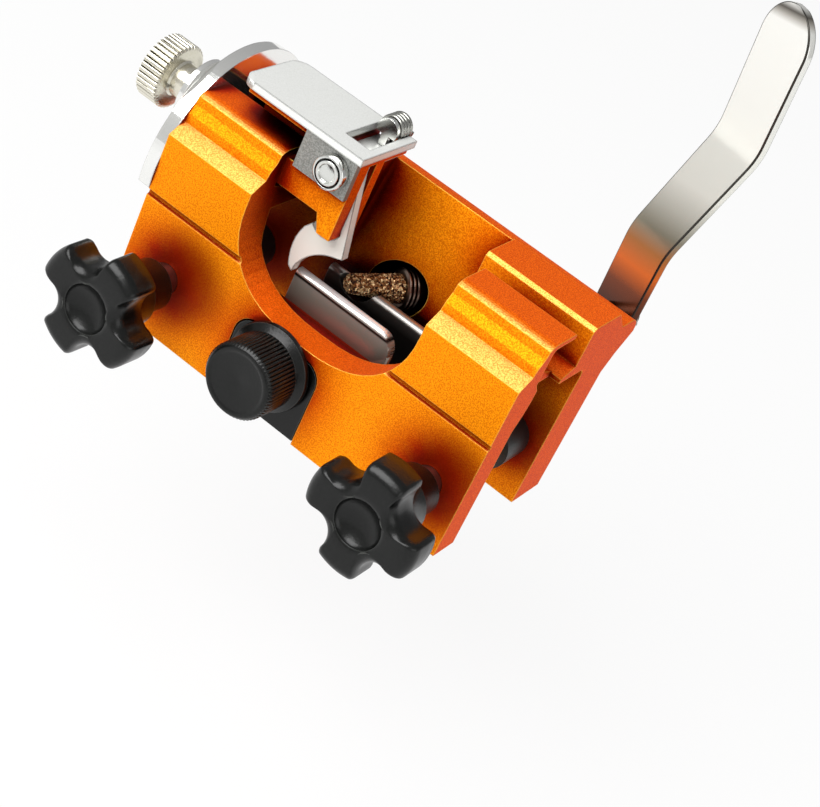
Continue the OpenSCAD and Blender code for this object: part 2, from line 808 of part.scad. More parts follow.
// Points of a round bend at p1 between the straight stretches from p0 and to p2
function bend(p0, p1, p2) =
    let (u = unit(p0 - p1), v = unit(p2 - p1), half = acos(u * v) / 2)
    let (c = p1 + unit(u + v) * bend_r / sin(half), a = p1 + u * bend_r / tan(half) - c)
    let (start = atan2(a[1], a[0]), side = sign(cross(p1 - p0, p2 - p1)))
    arc(c, bend_r, start, start + side * (180 - 2 * half), 6);

crank_line = concat([crank_bends[0]],
    bend(crank_bends[0], crank_bends[1], crank_bends[2]),
    bend(crank_bends[1], crank_bends[2], crank_bends[3]), [crank_bends[3]]);

// Side view of the strip: its middle line, half the thickness out on both sides
module crank_side() {
    last = len(crank_line) - 1;
    sides = [for (i = [0 : last])
        let (d = unit(crank_line[min(i + 1, last)] - crank_line[max(i - 1, 0)]))
        [-d[1], d[0]] * crank_t / 2];
    foot = [0, -crank_w / 2];
    polygon(concat([foot - [crank_t / 2, 0]], [for (i = [0 : last]) crank_line[i] + sides[i]],
        [for (i = [last : -1 : 0]) crank_line[i] - sides[i]], [foot + [crank_t / 2, 0]]));
}

// Front view of the strip, which widens a little towards its round tip
module crank_front() {
    top_r = crank_w / 2 + 1.2;
    polygon(concat(
        arc([0, 0], crank_w / 2, 180, 360, 12),
        arc([0, crank_bends[3][1] - top_r], top_r, 0, 180, 16)));
}

module crank_handle() place() color("#cfcfcc")
    difference() {
        on_rod(hub_s)
            rotate([0, 0, crank_tilt])
                intersection() {
                    rotate([180, -90, 0])
                        translate([0, 0, -crank_w])
                            linear_extrude(2 * crank_w) crank_side();
                    translate([0, 0, 2 * crank_w])
                        rotate([180, 0, 0])
                            linear_extrude(4 * crank_w) crank_front();
                }
        on_rod(hub_s - 5) cylinder(h = 10, r = nut_r);
    }

module crank_nut() place() color("#b9b9b4")
    on_rod(hub_s + crank_t / 2)
        difference() {
            cylinder(h = 3.2, r = 3.6, $fn = 6);
            translate([0, 0, -past]) cylinder(h = 6, r = nut_r);
        }

body();
end_plate();
end_plate_screws();
thumbscrew();
thumbscrew_washer();
thumbscrew_clip();
carriage();
cover_plate();
pawl_bracket();
pivot_bolt();
pawl();
spring_pin();
pawl_spring();
spring_seat();
slider_plate();
slider_knob();
slider_screw();
front_jaw();
jaw_carrier();
front_jaw_screws();
rear_jaw();
rear_jaw_screws();
left_clamp_knob();
left_clamp_screw();
left_clamp_pad();
right_clamp_knob();
right_clamp_screw();
right_clamp_pad();
bar_rests();
rod_sleeve();
grinding_rod();
burr();
crank_handle();
crank_nut();
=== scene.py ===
# A sharpening jig: an orange anodised saddle with a sprung pawl, two steel
# jaws, two clamps with star knobs, and a diamond burr on a crank.
# X runs along the body, -Y is the side of the star knobs, +Z is up.

import math

import bmesh
import bpy
from mathutils import Matrix, Vector


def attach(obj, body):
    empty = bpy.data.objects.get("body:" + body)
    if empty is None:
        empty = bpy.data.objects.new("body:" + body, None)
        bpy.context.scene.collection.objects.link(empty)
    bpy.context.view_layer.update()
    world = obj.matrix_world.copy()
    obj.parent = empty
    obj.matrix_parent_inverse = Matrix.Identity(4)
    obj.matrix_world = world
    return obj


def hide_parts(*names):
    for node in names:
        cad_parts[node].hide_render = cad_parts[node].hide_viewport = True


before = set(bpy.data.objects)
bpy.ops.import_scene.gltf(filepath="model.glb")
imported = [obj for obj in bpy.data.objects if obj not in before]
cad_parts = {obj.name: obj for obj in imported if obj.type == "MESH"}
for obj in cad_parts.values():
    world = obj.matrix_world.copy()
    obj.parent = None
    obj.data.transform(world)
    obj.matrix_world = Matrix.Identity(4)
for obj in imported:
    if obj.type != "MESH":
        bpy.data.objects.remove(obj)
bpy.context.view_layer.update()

# Camera, room, lamps and paper
# A long lens looks down from the knobs' side, about 40 cm away, and is rolled so that the
# body falls to the right. A large softbox hangs over the front, and a small one stands right.

IMAGE_WIDTH, FOCAL_LENGTH = 820.0, 2000.0  # in pixels
SENSOR_WIDTH = 36.0
STANDPOINT = (0.1268, -0.31595, 0.2111)

camera = bpy.data.objects.new("camera", bpy.data.cameras.new("camera"))
bpy.context.scene.collection.objects.link(camera)
bpy.context.scene.camera = camera
camera.data.sensor_width = SENSOR_WIDTH
camera.data.lens = FOCAL_LENGTH / IMAGE_WIDTH * SENSOR_WIDTH
camera.data.clip_start = 0.01
camera.data.clip_end = 20.0
right, up = Vector((0.7619, 0.528, 0.3751)), Vector((-0.5789, 0.2954, 0.76))
back = right.cross(up).normalized()
up = back.cross(right).normalized()
turn = Matrix((right.normalized(), up, back)).transposed()
camera.matrix_world = Matrix.Translation(STANDPOINT) @ turn.to_4x4()


def linear(code):
    """An sRGB hex colour as the linear RGBA that a shader takes."""
    parts = [int(code[i : i + 2], 16) / 255.0 for i in (1, 3, 5)]
    return tuple(
        p / 12.92 if p <= 0.04045 else ((p + 0.055) / 1.055) ** 2.4 for p in parts
    ) + (1.0,)


def add(tree, kind, inputs=(), **settings):
    """Adds a node, gives it its settings, and sets or links its inputs. A colour may be sRGB hex."""
    node = tree.nodes.new(kind)
    for name, value in settings.items():
        setattr(node, name, value)
    for name, value in dict(inputs).items():
        if isinstance(value, bpy.types.NodeSocket):
            tree.links.new(value, node.inputs[name])
        else:
            node.inputs[name].default_value = linear(value) if isinstance(value, str) else value
    return node


def ramp(tree, fac, stops):
    """A colour ramp from a list of (place, sRGB hex or linear colour)."""
    node = add(tree, "ShaderNodeValToRGB", {"Fac": fac})
    stops = [(place, linear(colour) if isinstance(colour, str) else colour) for place, colour in stops]
    marks = node.color_ramp.elements
    marks[0].position, marks[0].color = stops[0]
    marks[1].position, marks[1].color = stops[-1]
    for place, colour in stops[1:-1]:
        marks.new(place).color = colour
    return node.outputs["Color"]


world = bpy.data.worlds.new("studio")
bpy.context.scene.world = world
world.use_nodes = True
sky = world.node_tree
sky.nodes.clear()
direction = add(sky, "ShaderNodeTexCoord").outputs["Generated"]
axes = add(sky, "ShaderNodeSeparateXYZ", {"Vector": direction})
# The room is bright towards the camera and dimmer behind the jig
depth = add(sky, "ShaderNodeMapRange", {"Value": axes.outputs["Y"], "From Min": -0.75,
            "From Max": 0.75, "To Min": 0.0, "To Max": 1.0}).outputs["Result"]
near_wall, side_walls, far_wall = (1.0, 1.0, 0.99, 1), (0.75, 0.75, 0.75, 1), (0.6, 0.6, 0.61, 1)
room = ramp(sky, depth, [(0.0, near_wall), (0.5, side_walls), (1.0, far_wall)])
seen = add(sky, "ShaderNodeLightPath").outputs["Is Camera Ray"]
dim = add(sky, "ShaderNodeBackground", {"Color": room, "Strength": 0.6})
white = add(sky, "ShaderNodeBackground", {"Color": (1, 1, 1, 1), "Strength": 1.0})
mix = add(sky, "ShaderNodeMixShader", {0: seen, 1: dim.outputs[0], 2: white.outputs[0]})
add(sky, "ShaderNodeOutputWorld", {"Surface": mix.outputs[0]})


def softbox(name, place, target, size, watts):
    """A square lamp at a place, turned to a target."""
    lamp = bpy.data.lights.new(name, "AREA")
    lamp.size = size
    lamp.energy = watts
    box = bpy.data.objects.new(name, lamp)
    bpy.context.scene.collection.objects.link(box)
    box.location = place
    box.rotation_mode = "QUATERNION"
    box.rotation_quaternion = (Vector(place) - Vector(target)).to_track_quat("Z", "Y")


HEART = (0, 0, 0.03)
softbox("key", (-0.17, -0.38, 0.50), HEART, size=0.50, watts=5.2)
softbox("side", (0.55, -0.25, 0.20), HEART, size=0.35, watts=0.55)

# The paper lies well below the jig, so the shadow on it is soft and faint
PAPER_HALF, PAPER_Z = 4, -0.056
floor_mesh = bpy.data.meshes.new("floor")
paper_corners = [(x * PAPER_HALF, y * PAPER_HALF, 0) for x, y in ((-1, -1), (1, -1), (1, 1), (-1, 1))]
floor_mesh.from_pydata(paper_corners, [], [(0, 1, 2, 3)])
floor = bpy.data.objects.new("floor", floor_mesh)
bpy.context.scene.collection.objects.link(floor)
floor.location.z = PAPER_Z
# It glows white to the eye and in reflections, and keeps a tenth of its matt shading
paper = bpy.data.materials.new("white studio paper")
paper.use_nodes = True
tree = paper.node_tree
tree.nodes.clear()
matt = add(tree, "ShaderNodeBsdfDiffuse", {"Color": "#F1F1F0"})
glow = add(tree, "ShaderNodeEmission", {"Color": (1, 1, 1, 1), "Strength": 0.99})
path = add(tree, "ShaderNodeLightPath")
rays = {0: path.outputs["Is Camera Ray"], 1: path.outputs["Is Glossy Ray"]}
sight = add(tree, "ShaderNodeMath", rays, operation="MAXIMUM")
glowing = add(tree, "ShaderNodeMath", {0: sight.outputs[0], 1: 0.9}, operation="MULTIPLY")
both = add(tree, "ShaderNodeMixShader", {0: glowing.outputs[0], 1: matt.outputs[0], 2: glow.outputs[0]})
add(tree, "ShaderNodeOutputMaterial", {"Surface": both.outputs[0]})
floor_mesh.materials.append(paper)
bpy.context.scene.view_settings.view_transform = "Standard"

# The body, with the carriage and the block of the front jaw
# One piece milled from an extruded aluminium section, blasted to a fine grain and anodised
# orange. The carriage in its slot and the block that carries the front jaw are made alike.

CORNER_X, CORNER_Y = 41.0, 34.35
CLAMP_X = {"left": 10.0, "right": 74.5}


def mm(x, y, z):
    """A point of the drawing, measured from the body's lower front left corner."""
    return Vector((x - CORNER_X, y - CORNER_Y, z)) / 1000.0


def start(name):
    """A new material, its tree and its Object coordinates."""
    made = bpy.data.materials.new(name)
    made.use_nodes = True
    made.node_tree.nodes.clear()
    where = add(made.node_tree, "ShaderNodeTexCoord").outputs["Object"]
    return made, made.node_tree, where


def end(tree, **sockets):
    """The Principled shader that ends a material, with its sockets by name."""
    shader = add(tree, "ShaderNodeBsdfPrincipled",
                 {name.replace("_", " "): value for name, value in sockets.items()})
    add(tree, "ShaderNodeOutputMaterial", {"Surface": shader.outputs[0]})


def edges(tree, width, low=0.02, high=0.25):
    """1 along convex and concave edges within a width, 0 on the faces."""
    round_off = add(tree, "ShaderNodeBevel", {"Radius": width}, samples=4)
    flat = add(tree, "ShaderNodeNewGeometry").outputs["Normal"]
    dot = add(tree, "ShaderNodeVectorMath", {0: round_off.outputs[0], 1: flat}, operation="DOT_PRODUCT")
    spread = add(tree, "ShaderNodeMapRange", {"Value": dot.outputs["Value"], "From Min": 1.0 - low,
                 "From Max": 1.0 - high, "To Min": 0.0, "To Max": 1.0})
    return spread.outputs["Result"]


def grain(tree, where, size, strength, deep=0.0002, normal=None):
    """A bump whose grains are about size metres wide, and the pattern behind it."""
    noise = add(tree, "ShaderNodeTexNoise", {"Vector": where, "Scale": 1.0 / size, "Detail": 2.0})
    sockets = {"Height": noise.outputs[0], "Strength": strength, "Distance": deep}
    if normal is not None:
        sockets["Normal"] = normal
    return add(tree, "ShaderNodeBump", sockets).outputs[0], noise.outputs[0]


def blend(tree, fac, a, b, how="MIX"):
    """Two colours mixed by a factor."""
    sockets = {"Factor": fac, 6: a, 7: b}
    return add(tree, "ShaderNodeMix", sockets, data_type="RGBA", blend_type=how).outputs[2]


def whole(name, made, angle=40.0):
    """Puts a mesh in the scene, smooth except across edges sharper than an angle."""
    piece = bpy.data.objects.new(name, made)
    bpy.context.scene.collection.objects.link(piece)
    made.shade_smooth()
    made.set_sharp_from_angle(angle=math.radians(angle))
    return piece


def finish_piece(piece, material, body, record_slot, *stands_for):
    """Material, body, record slot (not used) and the CAD nodes that a piece stands for."""
    piece.data.materials.append(material)
    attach(piece, body)
    if stands_for:
        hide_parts(*stands_for)


def cavity(tree, reach):
    """1 in the open, towards 0 in corners and close to other pieces."""
    return add(tree, "ShaderNodeAmbientOcclusion", {"Distance": reach}, samples=8).outputs["AO"]


def in_corners(tree, tone, reach, stops):
    """A tone darkened by painted shade: multiplied by the stops' colours, from deep in a corner to the open.
    """
    return blend(tree, 1.0, tone, ramp(tree, cavity(tree, reach), stops), "MULTIPLY")


def dress(nodes, material):
    """Gives CAD nodes a material; they keep their place and shape."""
    for name in nodes:
        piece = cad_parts[name]
        piece.data.materials.clear()
        piece.data.materials.append(material)


def smooth_copy(node, material, body, record_slot, is_round=None):
    """A copy of a CAD node with welded seams, so that its arcs shade as true curves. Where a test
    is given, only the faces that pass it are smooth, and the rest stay flat."""
    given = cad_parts[node]
    shape = bmesh.new()
    shape.from_mesh(given.data)
    shape.transform(given.matrix_world)
    bmesh.ops.remove_doubles(shape, verts=shape.verts, dist=2e-6)
    made = bpy.data.meshes.new(node + "_finished")
    shape.to_mesh(made)
    shape.free()
    piece = whole(node + "_finished", made, 28.0)
    if is_round:
        for face in made.polygons:
            face.use_smooth = is_round(face)
    else:
        # Wide flat faces keep their own normals, and only the arcs between them are blended
        weigh = piece.modifiers.new("flat faces lead", "WEIGHTED_NORMAL")
        weigh.keep_sharp = True
        weigh.weight = 100
        evaluated = piece.evaluated_get(bpy.context.evaluated_depsgraph_get())
        piece.data = bpy.data.meshes.new_from_object(evaluated)
        piece.modifiers.clear()
    finish_piece(piece, material, body, record_slot, node)


def on_window_rim(face):
    """True for the faces of the window's U, which run straight through the front wall."""
    low, high = mm(20, 0, 18.8), mm(61.6, 23.4, 36)
    inside = all(low[i] <= face.center[i] <= high[i] for i in range(3))
    return inside and abs(face.normal.y) < 0.02


def between(tree, value, low, high):
    """0 below low and 1 above high, with a soft step between them."""
    settings = {"Value": value, "From Min": low, "From Max": high}
    return add(tree, "ShaderNodeMapRange", settings, interpolation_type="SMOOTHSTEP").outputs["Result"]


def times(tree, a, b):
    """The product of two values."""
    return add(tree, "ShaderNodeMath", {0: a, 1: b}, operation="MULTIPLY").outputs[0]


# A satin, fine grained orange, with painted light: a painted highlight lightens the edges, and painted
# shade makes the creases and the inside dark red
orange, tree, where = start("anodised aluminium, orange")
rim = edges(tree, 0.00035)
softened = add(tree, "ShaderNodeBevel", {"Radius": 0.0003}, samples=4).outputs[0]
bump, speck = grain(tree, where, 0.00026, 0.4, 0.00012, softened)
normal = add(tree, "ShaderNodeNewGeometry").outputs["Normal"]
facing = add(tree, "ShaderNodeSeparateXYZ", {"Vector": normal})
ahead = add(tree, "ShaderNodeMath", {0: facing.outputs["Y"], 1: -1.0}, operation="MULTIPLY").outputs[0]
# Painted light and shade by facing: faces that look up are deeper orange, the front is lighter
# and the sawn ends are the darkest
dye_and_painted_light = blend(tree, between(tree, ahead, 0.15, 0.6), "#FF7412", "#FF9C10")
sawn = between(tree, facing.outputs["X"], 0.4, 0.9)
dye_and_painted_light = blend(tree, sawn, dye_and_painted_light, "#F07614")
# The slope along the top of the front wall catches the lamp
slope = {0: normal, 1: (0.0, -0.6, 0.8)}
catch = add(tree, "ShaderNodeVectorMath", slope, operation="DOT_PRODUCT").outputs["Value"]
dye_and_painted_light = blend(tree, times(tree, between(tree, catch, 0.94, 0.995), 0.6), dye_and_painted_light, "#FFD67A")
dye_and_painted_light = blend(tree, 1.0, dye_and_painted_light, ramp(tree, speck, [(0.4, "#DCB8A0"), (0.6, "#FFFFFF")]), "MULTIPLY")
# Painted shade: close corners and the inside of the slot go dark red, the red of light bounced off the
# orange
over = between(tree, facing.outputs["Z"], 0.6, 0.9)
near = add(tree, "ShaderNodeMix", {0: over, 2: cavity(tree, 0.012), 3: cavity(tree, 0.006)}).outputs[0]
reds = [(0.3, "#160100"), (0.6, "#701402"), (0.8, "#CC5C30"), (0.93, "#FFFFFF")]
dye_and_painted_light = blend(tree, 1.0, dye_and_painted_light, ramp(tree, near, reds), "MULTIPLY")
dye_and_painted_light = in_corners(tree, dye_and_painted_light, 0.04, [(0.15, "#160000"), (0.33, "#5A1003"), (0.46, "#FFFFFF")])
# The star knobs shade the wall round their bores, up and to the right of each one
SHADE_ASIDE, SHADE_Z = 4.0, 14.6
for x in CLAMP_X.values():
    spot = mm(x + SHADE_ASIDE, 0.0, SHADE_Z)
    flat = add(tree, "ShaderNodeVectorMath", {0: where, 1: (1.0, 0.0, 1.0)}, operation="MULTIPLY").outputs[0]
    ends = {0: flat, 1: (spot.x, 0.0, spot.z)}
    reach = add(tree, "ShaderNodeVectorMath", ends, operation="DISTANCE").outputs["Value"]
    fading = between(tree, reach, 0.0045, 0.0125)
    shade = add(tree, "ShaderNodeMath", {0: 1.0, 1: fading}, operation="SUBTRACT").outputs[0]
    shade = times(tree, shade, between(tree, ahead, 0.6, 0.9))
    dye_and_painted_light = blend(tree, times(tree, shade, 0.7), dye_and_painted_light, "#6E1402")
# Painted highlight along the edges, kept out of the creases and the shaded places
corner = between(tree, cavity(tree, 0.0012), 0.7, 0.95)
lit = times(tree, times(tree, rim, corner), near)
# Sawn ends and upper faces shine more like bare metal than the front
bare = add(tree, "ShaderNodeMath", {0: sawn, 1: times(tree, over, 0.5)}, operation="MAXIMUM").outputs[0]
metal = add(tree, "ShaderNodeMix", {0: bare, 2: 0.3, 3: 0.6}).outputs[0]
# Painted shade: the creases go dark red
crease = add(tree, "ShaderNodeMath", {0: 1.0, 1: corner}, operation="SUBTRACT", use_clamp=True).outputs[0]
dye_and_painted_light = blend(tree, crease, dye_and_painted_light, "#6E1400")
end(tree, Base_Color=blend(tree, lit, dye_and_painted_light, "#FFCB55"), Metallic=metal, Roughness=0.4, Normal=bump,
    Specular_IOR_Level=0.12, Specular_Tint="#FF7A1C")
smooth_copy("body", orange, "saddle", "orange_anodised", on_window_rim)
dress(["carriage", "jaw_carrier"], orange)

# The end plate and the small dark screws
# A disc of polished steel, arched over the slot, held to the left end by two countersunk
# screws. The screws of the jaws and of the slider and the thumbscrew's clip are as dark.

# It mirrors the room, broken by hairline scratches
polished, tree, where = start("polished stainless steel")
wisp = add(tree, "ShaderNodeMapping", {"Vector": where, "Scale": (900.0, 60.0, 900.0)}).outputs[0]
lines = add(tree, "ShaderNodeTexNoise", {"Vector": wisp, "Scale": 1.0, "Detail": 3.0}).outputs[0]
softened = add(tree, "ShaderNodeBevel", {"Radius": 0.0003}, samples=4).outputs[0]
scratches = {"Height": lines, "Strength": 0.06, "Distance": 0.0001, "Normal": softened}
bump = add(tree, "ShaderNodeBump", scratches).outputs[0]
end(tree, Base_Color="#F2F2EF", Metallic=0.95, Roughness=0.1, Normal=bump)
smooth_copy("end_plate", polished, "saddle", "polished_plate")

# A dull grey, much dimmer than the bright steels round it
dark_steel, tree, where = start("blackened screw steel")
bump = grain(tree, where, 0.0003, 0.2)[0]
end(tree, Base_Color="#6E6B66", Metallic=1.0, Roughness=0.35, Normal=bump)
dress(["end_plate_screws", "rear_jaw_screws", "front_jaw_screws", "thumbscrew_clip", "slider_screw"],
      dark_steel)

# The thumbscrew
# Turned brass, straight knurled and nickel plated. Its screw feeds the carriage along the
# body, and a plain washer stands between it and the plate.

# A pale, warm white metal, with painted shade, dark brown, in the valleys of the knurling
nickel, tree, where = start("nickel plated brass, knurled")
bump, speck = grain(tree, where, 0.0004, 0.15)
tone = blend(tree, speck, "#D9D4C2", "#F1EDE0")
tone = in_corners(tree, tone, 0.0015, [(0.25, "#2B261C"), (0.8, "#FFFFFF")])
end(tree, Base_Color=tone, Metallic=1.0, Roughness=0.22, Normal=bump)

FEED_Y, FEED_Z = 11.3, 42.8
DRUM_R, KNURLS, KNURL_DEPTH = 6.7, 38, 0.55
THREAD_R, ROOT_R, HALF_PITCH, THREAD_RINGS = 2.0, 1.72, 0.35, 66


def revolve(name, rings, place, count=96):
    """A closed solid of revolution. A ring is (height, radius), or (height, function of the angle);
    place turns an angle's (cos, sin, height) point in mm into the row frame."""
    shape = bmesh.new()
    loops = []
    for height, radius in rings:
        loop = []
        for i in range(count):
            a = 2 * math.pi * i / count
            r = radius(a) if callable(radius) else radius
            loop.append(shape.verts.new(place(r * math.cos(a), r * math.sin(a), height)))
        loops.append(loop)
    for low, high in zip(loops, loops[1:]):
        for i in range(count):
            j = (i + 1) % count
            shape.faces.new((low[i], low[j], high[j], high[i]))
    shape.faces.new(loops[0][::-1])
    shape.faces.new(loops[-1])
    bmesh.ops.recalc_face_normals(shape, faces=shape.faces)
    made = bpy.data.meshes.new(name)
    shape.to_mesh(made)
    shape.free()
    return whole(name, made)


def flute(radius, count, depth):
    """The radius of a drum with round topped ridges and sharp valleys."""
    return lambda a: radius - depth * (1.0 - abs(math.sin(a * count / 2.0))) ** 2.6


ridged = flute(DRUM_R, KNURLS, KNURL_DEPTH)
drum = [(-13.6, 0.4), (-13.6, 4.3), (-14.0, 4.7), (-14.0, 5.9), (-13.85, 6.15), (-13.6, ridged),
        (-9.1, ridged), (-8.8, 6.2), (-8.7, 5.9), (-8.7, 3.8), (-8.3, 3.4), (-3.7, 3.4),
        (-3.7, THREAD_R), (0.0, THREAD_R)]
# The thread is cut as rings 0.7 mm apart, coarse enough to show
drum += [(0.2 + HALF_PITCH * i, THREAD_R if i % 2 else ROOT_R) for i in range(THREAD_RINGS)]
drum += [(23.4, 1.6), (23.4, 0.2)]
screw = revolve("thumbscrew_turned", drum, lambda u, v, h: mm(h, FEED_Y + u, FEED_Z + v), 12 * KNURLS)
finish_piece(screw, nickel, "thumbscrew", "nickel", "thumbscrew")
dress(["thumbscrew_washer"], polished)

# The cover plate and the bracket
# The cover is matt stainless sheet on the carriage, and the spring's seat is the same. The
# bracket under it is bead blasted.

# A pale, even sheet, with painted shade along its edges and in its corners
matt_steel, tree, where = start("stainless sheet, glass beaded")
rim = edges(tree, 0.0005, 0.003, 0.08)
bump, speck = grain(tree, where, 0.0002, 0.12)
tone = ramp(tree, speck, [(0.3, "#DCDDD9"), (0.7, "#E9EAE7")])
tone = in_corners(tree, tone, 0.004, [(0.1, "#303030"), (0.7, "#FFFFFF")])
tone = blend(tree, times(tree, rim, 0.8), tone, "#5E5F5C")
end(tree, Base_Color=tone, Metallic=0.35, Roughness=0.38, Normal=bump)
smooth_copy("cover_plate", matt_steel, "carriage", "cover_steel")
dress(["spring_seat"], matt_steel)

# A mid grey, the roughest skin on the jig
blasted, tree, where = start("bead blasted steel")
bump, speck = grain(tree, where, 0.00025, 0.5)
end(tree, Base_Color=ramp(tree, speck, [(0.3, "#7E7F7B"), (0.7, "#A9AAA6")]),
    Metallic=0.8, Roughness=0.5, Normal=bump)
dress(["pawl_bracket"], blasted)

# The pivot bolt and the pawl
# A turned and polished shoulder bolt in the carriage carries the pawl, which is cut from
# tool steel and ground satin. The crank's nut and the spring's pin are as bright as the bolt.

# A clean bright metal, with painted shade that makes its grooves black
turned, tree, where = start("turned and polished steel")
softened = add(tree, "ShaderNodeBevel", {"Radius": 0.0002}, samples=4).outputs[0]
tone = ramp(tree, cavity(tree, 0.001), [(0.35, "#161614"), (0.85, "#DCDDD9")])
end(tree, Base_Color=tone, Metallic=1.0, Roughness=0.18, Normal=softened)
dress(["crank_nut"], turned)

PIVOT_X, PIVOT_Z = 30.5, 49.0
# The shank, then the head with a groove round its rim, a step and a dished middle
head = [(15.8, 0.2), (15.8, 1.25), (6.0, 1.25), (6.0, 3.0), (5.9, 3.3), (4.2, 3.3), (4.0, 3.2), (3.9, 3.0),
        (3.9, 2.75), (4.35, 2.7), (4.35, 2.45), (3.85, 2.4), (3.72, 2.3), (3.7, 2.15), (3.7, 1.8),
        (4.0, 1.65), (4.15, 1.2), (4.2, 0.2)]
bolt = revolve("pivot_bolt_turned", head, lambda u, v, h: mm(PIVOT_X + u, h, PIVOT_Z + v))
finish_piece(bolt, turned, "carriage", "bolt_steel", "pivot_bolt")

# Nearly white, with painted shade along its edges and in its corners
satin, tree, where = start("satin ground tool steel")
rim = edges(tree, 0.0004, 0.003, 0.08)
bump = grain(tree, where, 0.0003, 0.1)[0]
shade = ramp(tree, cavity(tree, 0.0015), [(0.1, "#4A3E36"), (0.4, "#DEE1DA")])
end(tree, Base_Color=blend(tree, rim, shade, "#2E2A27"), Metallic=0.1, Roughness=0.3, Normal=bump)
smooth_copy("pawl", satin, "pawl", "pawl_steel")

# The pawl's spring
# Close turns of hard drawn wire round a turned pin, whose post stands on the spring's seat.

dress(["spring_pin"], turned)

# Shiny turns, with painted shade that makes the gaps between them black
spring_wire, tree, where = start("hard drawn spring wire")
tone = ramp(tree, cavity(tree, 0.0012), [(0.3, "#080807"), (0.9, "#A6A6A0")])
end(tree, Base_Color=tone, Metallic=1.0, Roughness=0.22)
COIL_X, COIL_Y, COIL_Z, COIL_R = 30.7, 20.9, 54.8, 2.3
WIRE_R, PITCH, TURNS, STEPS_A_TURN = 0.45, 0.94, 4, 32
line = bpy.data.curves.new("coil", "CURVE")
line.dimensions = "3D"
line.bevel_depth = WIRE_R / 1000.0
line.bevel_resolution = 5
line.use_fill_caps = True
wind = line.splines.new("POLY")
wind.points.add(STEPS_A_TURN * TURNS)
for i, point in enumerate(wind.points):
    a = 2 * math.pi * i / STEPS_A_TURN
    along = COIL_Y + PITCH * i / STEPS_A_TURN
    point.co = (*mm(COIL_X + COIL_R * math.cos(a), along, COIL_Z + COIL_R * math.sin(a)), 1.0)
wire = bpy.data.objects.new("coil", line)
bpy.context.scene.collection.objects.link(wire)
coil = whole("pawl_spring_coil", bpy.data.meshes.new_from_object(wire))
bpy.data.objects.remove(wire)
finish_piece(coil, spring_wire, "carriage", "spring_steel", "pawl_spring")

# The slider plate and its thumb knob
# Glass filled nylon, injection moulded black. The plate stands in the front wall, and the
# knurled knob on it locks the slider.

# Nearly black and a little shiny, with a painted highlight on its edges and painted shade in its creases
nylon, tree, where = start("moulded nylon, black")
rim = edges(tree, 0.0004)
softened = add(tree, "ShaderNodeBevel", {"Radius": 0.00015}, samples=4).outputs[0]
bump, speck = grain(tree, where, 0.0005, 0.25, 0.0001, softened)
skin = ramp(tree, speck, [(0.3, "#030403"), (0.7, "#0B0C0B")])
skin = blend(tree, times(tree, rim, 0.5), skin, "#6A6C68")
skin = in_corners(tree, skin, 0.0012, [(0.4, "#000000"), (0.9, "#FFFFFF")])
end(tree, Base_Color=skin, Metallic=0.0, Roughness=0.27, Specular_IOR_Level=0.32, Normal=bump)
dress(["slider_plate"], nylon)

THUMB_X, THUMB_Z, FACE_R = 37.4, 11.5, 5.5
SKIRT_R, RIBS, RIB_DEPTH = 7.5, 60, 0.55
ribbed = flute(SKIRT_R, RIBS, RIB_DEPTH)
# A flange, the ribbed skirt, then a raised rim round a sunk face
thumb = [(-0.2, 0.3), (-0.2, 8.4), (-0.5, 8.75), (-0.9, 8.8), (-1.5, 8.65), (-2.3, 7.4), (-2.5, 7.2),
         (-2.8, ribbed), (-10.0, ribbed), (-10.45, 7.15), (-10.9, 6.8), (-11.0, 6.5), (-11.0, 6.05),
         (-10.8, 5.8), (-10.75, FACE_R)]
thumb += [(-10.7 + 0.55 * (1.0 - r / FACE_R) ** 1.3, r) for r in (4.6, 3.7, 2.8, 1.9, 1.0, 0.3)]
knob = revolve("slider_knob_moulded", thumb, lambda u, v, h: mm(THUMB_X + u, h, THUMB_Z + v), 9 * RIBS)
finish_piece(knob, nylon, "slider_lock", "black_plastic", "slider_knob")

# The clamps: star knobs, screws and pads
# Each knob is moulded from the same nylon, with four lobes round a dished hub, and turns a
# bright steel screw in the front wall. A turned brass pad sits on the screw's inner end.

CLAMP_Z, KNOB_BACK_Y = 12.4, -15.4
LOBE_T, ROUND_R, DISH_R = 7.6, 2.4, 7.0


def star(turn):
    """The rim of a four lobed star knob: a circle with round scoops, joined by soft corners."""
    rim_r, scoop_r, scoop_at, soft = 11.8, 4.6, 12.0, 2.6
    widest = math.asin(scoop_r / scoop_at)

    def radius(a):
        off = abs((a - math.radians(turn)) % (math.pi / 2) - math.pi / 4)
        inside = max(scoop_r ** 2 - (scoop_at * math.sin(off)) ** 2, 0.0)
        scoop = scoop_at * math.cos(off) - math.sqrt(inside) + max(off - widest, 0.0) * 40.0
        near = max(soft - abs(rim_r - scoop), 0.0) / soft
        return min(rim_r, scoop) - near * near * soft / 4.0

    return radius


